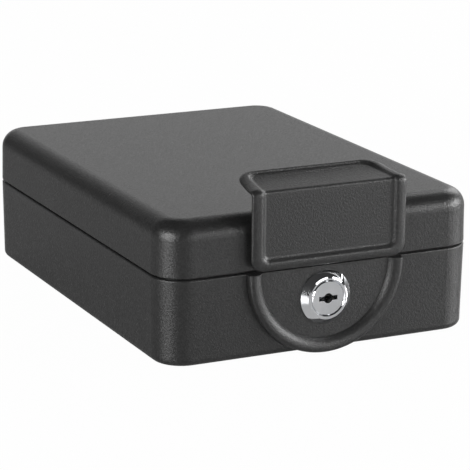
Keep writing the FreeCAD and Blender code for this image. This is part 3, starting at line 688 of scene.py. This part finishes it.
@dataclass
class MouldedPull:
    """Lid pull: a rimmed front panel that turns over a soft edge into a scooped lip.

    The skin is a row of rings. Each ring follows an outline round the
    unrolled pull, and is bent to the side view of the rim, the dish or the back.
    Its sizes are in millimetres.
    """

    node: str = "lid_pull"
    name: str = "moulded_lid_pull"
    wall_node: str = "lid_shell"
    rim_proud: float = 5.0
    panel_proud: float = 3.2
    rim_top: float = 11.9
    panel_top: float = 10.9
    rim_bend: float = 3.0
    panel_bend: float = 1.5
    lip_reach: float = 18.3
    rim_rise: float = 3.0
    rim_power: float = 2.0
    scoop_rise: float = 2.3
    scoop_slope: float = 1.6
    scoop_power: float = 7.0
    wall_thickness: float = 2.0
    wall_overlap: float = 0.3
    edge: PullOutline = field(
        default_factory=lambda: PullOutline(
            half_front=36.8,
            half_back=33.8,
            inset_low=0.0,
            inset_back=0.0,
            corner_low=5.8,
            corner_back=6.5,
        )
    )
    crest: PullOutline = field(
        default_factory=lambda: PullOutline(
            half_front=33.7,
            half_back=30.7,
            inset_low=2.6,
            inset_back=1.2,
            corner_low=4.5,
            corner_back=5.0,
        )
    )
    crease: PullOutline = field(
        default_factory=lambda: PullOutline(
            half_front=29.05,
            half_back=27.4,
            inset_low=6.3,
            inset_back=2.2,
            corner_low=2.2,
            corner_back=5.0,
        )
    )
    edge_radius: float = 1.0
    edge_lean: float = math.radians(25)
    edge_end: float = math.radians(118)
    skirt_inset: float = 2.2
    slope_power: float = 2.6
    crease_margin: float = 0.6
    corner_steps: int = 8
    front_steps: int = 9
    bend_steps: int = 9
    lip_steps: int = 9
    turn_steps: int = 3
    arc_steps: int = 5
    edge_steps: int = 7
    slope_steps: int = 14
    side_low: float = 9.5
    side_back: float = 8.0

    def __post_init__(self) -> None:
        """Work out the three side views from the frame."""
        low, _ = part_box(self.node)
        wall_low, wall_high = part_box(self.wall_node)
        self.wall_y = wall_low.y
        self.top_z = wall_high.z
        foot = (low.z - wall_high.z) / MM
        end = -self.lip_reach
        thickness = self.wall_thickness
        self.rim_line = BentLine(
            out=self.rim_proud,
            low=foot,
            top=self.rim_top,
            bend=self.rim_bend,
            lip_out=end,
            lip_rise=self.rim_rise,
            lip_power=self.rim_power,
        )
        self.dish_line = BentLine(
            out=self.panel_proud,
            low=foot,
            top=self.panel_top,
            bend=self.panel_bend,
            lip_out=end,
            lip_rise=self.scoop_rise,
            lip_power=self.scoop_power,
            lip_slope=self.scoop_slope,
        )
        self.back_line = replace(
            self.dish_line,
            out=self.panel_proud - thickness,
            top=self.panel_top - thickness,
            foot_out=thickness - self.panel_proud - self.wall_overlap,
        )
        self.front_length = self.rim_top - self.rim_bend - foot
        self.lip_length = self.rim_proud - self.rim_bend - end

    def chain(self, outline: PullOutline) -> Chain:
        """Follow half of an outline from the middle of its low end to the middle of the lip.

        Args:
            outline: Outline to follow.

        Returns:
            Distance from the middle, stretch and share of the stretch, point by point.
        """
        points = []
        for step in range(self.corner_steps + 1):
            angle = QUARTER_TURN * step / self.corner_steps
            across = outline.half_front - outline.corner_low * (1 - math.sin(angle))
            along = outline.inset_low + outline.corner_low * (1 - math.cos(angle))
            points.append((across, Stretch.FRONT, along / self.front_length))
        first = self.side_low / self.front_length
        for step in range(self.front_steps + 1):
            share = first + (1 - first) * step / self.front_steps
            points.append((outline.half_front, Stretch.FRONT, share))
        for step in range(1, self.bend_steps + 1):
            points.append((outline.half_front, Stretch.BEND, step / self.bend_steps))
        last = 1 - self.side_back / self.lip_length
        turn = 1 - (outline.inset_back + outline.corner_back) / self.lip_length
        shares = [last * step / self.lip_steps for step in range(1, self.lip_steps + 1)]
        for step in range(1, self.turn_steps):
            shares.append(last + (turn - last) * step / self.turn_steps)
        narrowing = outline.half_back - outline.half_front
        for share in shares:
            points.append((outline.half_front + narrowing * share, Stretch.LIP, share))
        for step in range(self.corner_steps + 1):
            angle = QUARTER_TURN * step / self.corner_steps
            share = turn + outline.corner_back * math.sin(angle) / self.lip_length
            inward = outline.corner_back * (1 - math.cos(angle))
            points.append((outline.half_front + narrowing * share - inward, Stretch.LIP, share))
        return points

    def between(self, first: PullOutline, second: PullOutline, part: float) -> Chain:
        """Return the chain that lies a share of the way from one outline to another."""
        pairs = zip(self.chain(first), self.chain(second))
        return [(a[0] + (b[0] - a[0]) * part, a[1], a[2] + (b[2] - a[2]) * part) for a, b in pairs]

    def rings(self) -> list[list[Vector]]:
        """Return half rings from the back, round the rim and down to the panel.

        Returns:
            Points of each half ring: distance from the middle, distance out and height.
        """
        rings = [self.bent(self.chain(self.edge.inner(self.skirt_inset)), self.back_line)]
        width = self.edge.half_front - self.crest.half_front
        radius = self.edge_radius
        arc = radius + (width - radius) / math.sin(self.edge_lean)
        middle = (arc - radius) * Vector((math.sin(self.edge_lean), math.cos(self.edge_lean)))
        offsets = []
        for step in range(self.edge_steps):
            lean = self.edge_end + (self.edge_lean - self.edge_end) * step / self.edge_steps
            offsets.append(middle + radius * Vector((math.sin(lean), math.cos(lean))))
        for step in range(self.arc_steps):
            lean = self.edge_lean * (1 - step / self.arc_steps)
            offsets.append(arc * Vector((math.sin(lean), math.cos(lean))))
        for offset in offsets:
            points = self.between(self.crest, self.edge, offset.x / width)
            rings.append(self.bent(points, self.rim_line, arc - offset.y))
        for step in range(self.slope_steps + 1):
            part = step / self.slope_steps
            points = self.between(self.crest, self.crease, part)
            rim = self.bent(points, self.rim_line)
            dish = self.bent(points, self.dish_line)
            fall, stay = part ** self.slope_power, (1 - part) ** self.slope_power
            rings.append([a.lerp(b, fall / (fall + stay)) for a, b in zip(rim, dish)])
        rings.append(self.bent(self.chain(self.crease.inner(self.crease_margin)), self.dish_line))
        return rings

    def bent(self, points: Chain, line: BentLine, depth: float = 0.0) -> list[Vector]:
        """Bend a flat chain to a side view, a depth below it.

        Args:
            points: Chain of an outline.
            line: Side view to follow.
            depth: Distance in from the line.

        Returns:
            Distance from the middle, distance out and height, point by point.
        """
        bent = []
        for across, stretch, part in points:
            place = line.point(stretch, part) - depth * line.normal(stretch, part)
            bent.append(Vector((across, place.x, place.y)))
        return bent

    def build(self) -> bpy.types.Object:
        """Build the pull's mesh.

        Returns:
            The new object, in place in the row frame.
        """
        shape = bmesh.new()
        halves = []
        for ring in self.rings():
            pair = []
            for side in (-1, 1):
                half = []
                for point in ring:
                    across, out, height = point * MM
                    place = (side * across, self.wall_y - out, self.top_z + height)
                    half.append(shape.verts.new(place))
                pair.append(half)
            halves.append(pair)
        for (left, right), (left_next, right_next) in zip(halves, halves[1:]):
            for now, following in ((left, left_next), (right, right_next)):
                for a, b, c, d in zip(now, now[1:], following[1:], following):
                    shape.faces.new((a, b, c, d))
            for end in (0, -1):
                shape.faces.new((left[end], right[end], right_next[end], left_next[end]))
        for left, right in (halves[0], halves[-1]):
            for a, b, c, d in zip(left, left[1:], right[1:], right):
                shape.faces.new((a, b, c, d))
        return add_object(shape, self.name)

    def dress(self, workshop: Workshop) -> None:
        """Build the pull and finish it."""
        workshop.place_piece(self.build(), Body.LID, Slot.ABS, self.node)


@dataclass
class BaseTray:
    """Pressed steel base with its tongue, lock plate, feet and lining."""

    lining: FoamSheet = field(
        default_factory=lambda: FoamSheet("base_mat", "base_foam_lining", Body.BASE, facing=1)
    )

    def dress(self, workshop: Workshop) -> None:
        """Finish the base's pieces."""
        workshop.dress_nodes(
            {
                "base_shell": Slot.COAT,
                "rim_tongue": Slot.COAT,
                "lock_plate": Slot.ABS,
                "lock_plate_screws": Slot.ZINC,
                "rubber_feet": Slot.RUBBER,
            }
        )
        self.lining.dress(workshop)


@dataclass
class Lid:
    """Pressed steel lid with its pull, catch and lining."""

    lining: FoamSheet = field(
        default_factory=lambda: FoamSheet(
            "lid_pad", "lid_foam_lining", Body.LID, facing=-1, corner=7 * MM, edge=1.6 * MM
        )
    )

    def dress(self, workshop: Workshop) -> None:
        """Finish the lid's pieces."""
        workshop.dress_nodes(
            {
                "lid_shell": Slot.COAT,
                "lid_pull_screws": Slot.ZINC,
                "lid_catch": Slot.ZINC,
            }
        )
        self.lining.dress(workshop)
        MouldedPull().dress(workshop)


@dataclass
class Hinge:
    """Riveted butt hinge along the back."""

    def dress(self, workshop: Workshop) -> None:
        """Finish the hinge's pieces."""
        workshop.dress_nodes(
            {
                "hinge_base_leaf": Slot.ZINC,
                "hinge_lid_leaf": Slot.ZINC,
                "hinge_pin": Slot.ZINC,
                "hinge_base_rivets": Slot.RIVET,
                "hinge_lid_rivets": Slot.RIVET,
            }
        )


@dataclass
class CamLock:
    """Cam lock: chrome barrel and plug, steel cam behind."""

    def dress(self, workshop: Workshop) -> None:
        """Finish the lock's pieces."""
        workshop.dress_nodes(
            {
                "lock_barrel": Slot.CHROME,
                "lock_plug": Slot.CHROME,
                "lock_nut": Slot.ZINC,
                "lock_wafers": Slot.NICKEL,
                "stop_washer": Slot.ZINC,
                "lock_cam": Slot.ZINC,
                "cam_washer": Slot.ZINC,
                "cam_screw": Slot.ZINC,
            }
        )


@dataclass
class SoftBox:
    """One large soft lamp that looks at the box from an azimuth and elevation in degrees."""

    name: str
    azimuth: float
    elevation: float
    watts: float
    distance: float = 1.2
    width: float = 0.6
    height: float = 0.8
    aim: Vector = field(default_factory=lambda: Vector((0.0, 0.0, 30.0)) * MM)

    def build(self) -> None:
        """Set the lamp up."""
        lamp = bpy.data.lights.new(self.name, "AREA")
        lamp.shape = "RECTANGLE"
        lamp.size = self.width
        lamp.size_y = self.height
        lamp.energy = self.watts
        holder = bpy.data.objects.new(self.name, lamp)
        way = outward(math.radians(self.azimuth), math.radians(self.elevation))
        holder.location = self.aim + way * self.distance
        holder.rotation_euler = way.to_track_quat("Z", "Y").to_euler()
        bpy.context.scene.collection.objects.link(holder)
        LOG.info("set up %s", self.name)


@dataclass
class Studio:
    """Satin white floor, a bright backdrop behind the box and soft lamps round it."""

    floor_half: float = 3.0
    floor_colour: str = "#cecece"
    floor_roughness: float = 0.2
    floor_white_seen: float = 0.985
    floor_white_mirrored: float = 0.1
    backdrop: float = 0.72
    backdrop_azimuth: float = 146.0
    backdrop_edge: tuple[float, float] = (0.6, 0.9)
    backdrop_fade: tuple[float, float] = (0.45, 0.85)
    fill: float = 0.04
    lamps: list[SoftBox] = field(
        default_factory=lambda: [
            SoftBox("left_softbox", -70.0, 14.0, watts=11.5, width=0.8, height=0.5),
            SoftBox("right_softbox", 61.0, 15.0, watts=15.3, width=1.05, height=0.42),
            SoftBox("rear_softbox", 120.0, 30.0, watts=3.3, width=0.5, height=0.7),
            SoftBox("front_softbox", 12.0, 12.0, watts=1.6, width=0.5, height=0.4),
        ]
    )

    def build_floor(self) -> None:
        """Lay the floor: white to the camera with a trace of shadow, and pale in reflections."""
        half = self.floor_half
        mesh = bpy.data.meshes.new("studio_floor")
        corners = [(-half, -half, 0.0), (half, -half, 0.0), (half, half, 0.0), (-half, half, 0.0)]
        mesh.from_pydata(corners, [], [(0, 1, 2, 3)])
        floor = bpy.data.objects.new("studio_floor", mesh)
        bpy.context.scene.collection.objects.link(floor)
        material = bpy.data.materials.new("satin_white_acrylic")
        material.use_nodes = True
        tree = material.node_tree
        tree.nodes.clear()
        acrylic = add_node(
            tree,
            "ShaderNodeBsdfPrincipled",
            values={"Base Color": linear(self.floor_colour), "Roughness": self.floor_roughness},
        )
        glow = add_node(tree, "ShaderNodeEmission", values={"Strength": 1.0})
        path = add_node(tree, "ShaderNodeLightPath")
        mirrored = add_node(
            tree,
            "ShaderNodeMath",
            links={0: path.outputs["Is Glossy Ray"], 1: path.outputs["Is Transmission Ray"]},
            operation="MAXIMUM",
        )
        pale = add_node(
            tree,
            "ShaderNodeMath",
            values={1: self.floor_white_mirrored},
            links={0: mirrored.outputs["Value"]},
            operation="MULTIPLY",
        )
        share = add_node(
            tree,
            "ShaderNodeMath",
            values={1: self.floor_white_seen},
            links={0: path.outputs["Is Camera Ray"], 2: pale.outputs["Value"]},
            operation="MULTIPLY_ADD",
        )
        mixed = add_node(
            tree,
            "ShaderNodeMixShader",
            links={
                0: share.outputs["Value"],
                1: acrylic.outputs["BSDF"],
                2: glow.outputs["Emission"],
            },
        )
        add_node(tree, "ShaderNodeOutputMaterial", links={"Surface": mixed.outputs["Shader"]})
        mesh.materials.append(material)
        LOG.info("laid studio_floor")

    def build_sky(self) -> None:
        """Surround the box: white to the camera, lit by a backdrop behind and dim elsewhere."""
        world = bpy.data.worlds.new("studio_surround")
        world.use_nodes = True
        tree = world.node_tree
        tree.nodes.clear()
        edge_from, edge_to = self.backdrop_edge
        fade_from, fade_to = self.backdrop_fade
        place = add_node(tree, "ShaderNodeTexCoord")
        way = add_node(tree, "ShaderNodeSeparateXYZ", links={0: place.outputs["Generated"]})
        facing = add_node(
            tree,
            "ShaderNodeVectorMath",
            values={1: outward(math.radians(self.backdrop_azimuth), 0.0)},
            links={0: place.outputs["Generated"]},
            operation="DOT_PRODUCT",
        )
        behind = add_node(
            tree,
            "ShaderNodeMapRange",
            values={"From Min": edge_from, "From Max": edge_to},
            links={"Value": facing.outputs["Value"]},
            interpolation_type="SMOOTHSTEP",
        )
        low = add_node(
            tree,
            "ShaderNodeMapRange",
            values={"From Min": fade_from, "From Max": fade_to, "To Min": 1.0, "To Max": 0.0},
            links={"Value": way.outputs["Z"]},
            interpolation_type="SMOOTHSTEP",
        )
        both = add_node(
            tree,
            "ShaderNodeMath",
            links={0: behind.outputs["Result"], 1: low.outputs["Result"]},
            operation="MULTIPLY",
        )
        strength = add_node(
            tree,
            "ShaderNodeMapRange",
            values={"To Min": self.fill, "To Max": self.backdrop},
            links={"Value": both.outputs["Value"]},
        )
        path = add_node(tree, "ShaderNodeLightPath")
        seen = add_node(
            tree,
            "ShaderNodeMath",
            links={0: strength.outputs["Result"], 1: path.outputs["Is Camera Ray"]},
            operation="MAXIMUM",
        )
        glow = add_node(
            tree,
            "ShaderNodeBackground",
            values={"Color": linear("#ffffff")},
            links={"Strength": seen.outputs["Value"]},
        )
        add_node(tree, "ShaderNodeOutputWorld", links={"Surface": glow.outputs["Background"]})
        bpy.context.scene.world = world

    def build(self) -> None:
        """Set up the studio."""
        self.build_sky()
        self.build_floor()
        for lamp in self.lamps:
            lamp.build()
        bpy.context.scene.view_settings.view_transform = "Standard"


@dataclass
class PhotoCamera:
    """Camera at the photograph's viewing angle, solved from the box's own edges."""

    azimuth: float = math.radians(-25.993)
    elevation: float = math.radians(15.42)
    roll: float = math.radians(0.567)
    distance: float = 1079.4 * MM
    target: Vector = field(default_factory=lambda: Vector((6.726, 0.185, 25.974)) * MM)
    focal_px: float = 2311.5
    sensor_mm: float = 36.0

    def build(self) -> None:
        """Set the camera up and make it the scene's own."""
        back = outward(self.azimuth, self.elevation)
        side = Vector((0.0, 0.0, 1.0)).cross(back).normalized()
        up = back.cross(side)
        turned_side = side * math.cos(self.roll) + up * math.sin(self.roll)
        turned_up = up * math.cos(self.roll) - side * math.sin(self.roll)
        data = bpy.data.cameras.new("photo_camera")
        data.sensor_fit = "HORIZONTAL"
        data.sensor_width = self.sensor_mm
        data.lens = self.focal_px * self.sensor_mm / PHOTO_PX
        camera = bpy.data.objects.new("photo_camera", data)
        turn = Matrix((turned_side, turned_up, back)).transposed().to_4x4()
        camera.matrix_world = Matrix.Translation(self.target + back * self.distance) @ turn
        bpy.context.scene.collection.objects.link(camera)
        bpy.context.scene.camera = camera
        LOG.info("set photo_camera")


def clear_scene() -> None:
    """Remove whatever a new Blender file starts with."""
    for item in list(bpy.data.objects):
        bpy.data.objects.remove(item)


def main() -> None:
    """Build the box's looks in order."""
    logging.basicConfig(level=logging.INFO)
    clear_scene()
    workshop = Workshop(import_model())
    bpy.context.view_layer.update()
    for assembly in (BaseTray(), Lid(), Hinge(), CamLock()):
        assembly.dress(workshop)
    Studio().build()
    PhotoCamera().build()


if __name__ == "__main__":
    main()
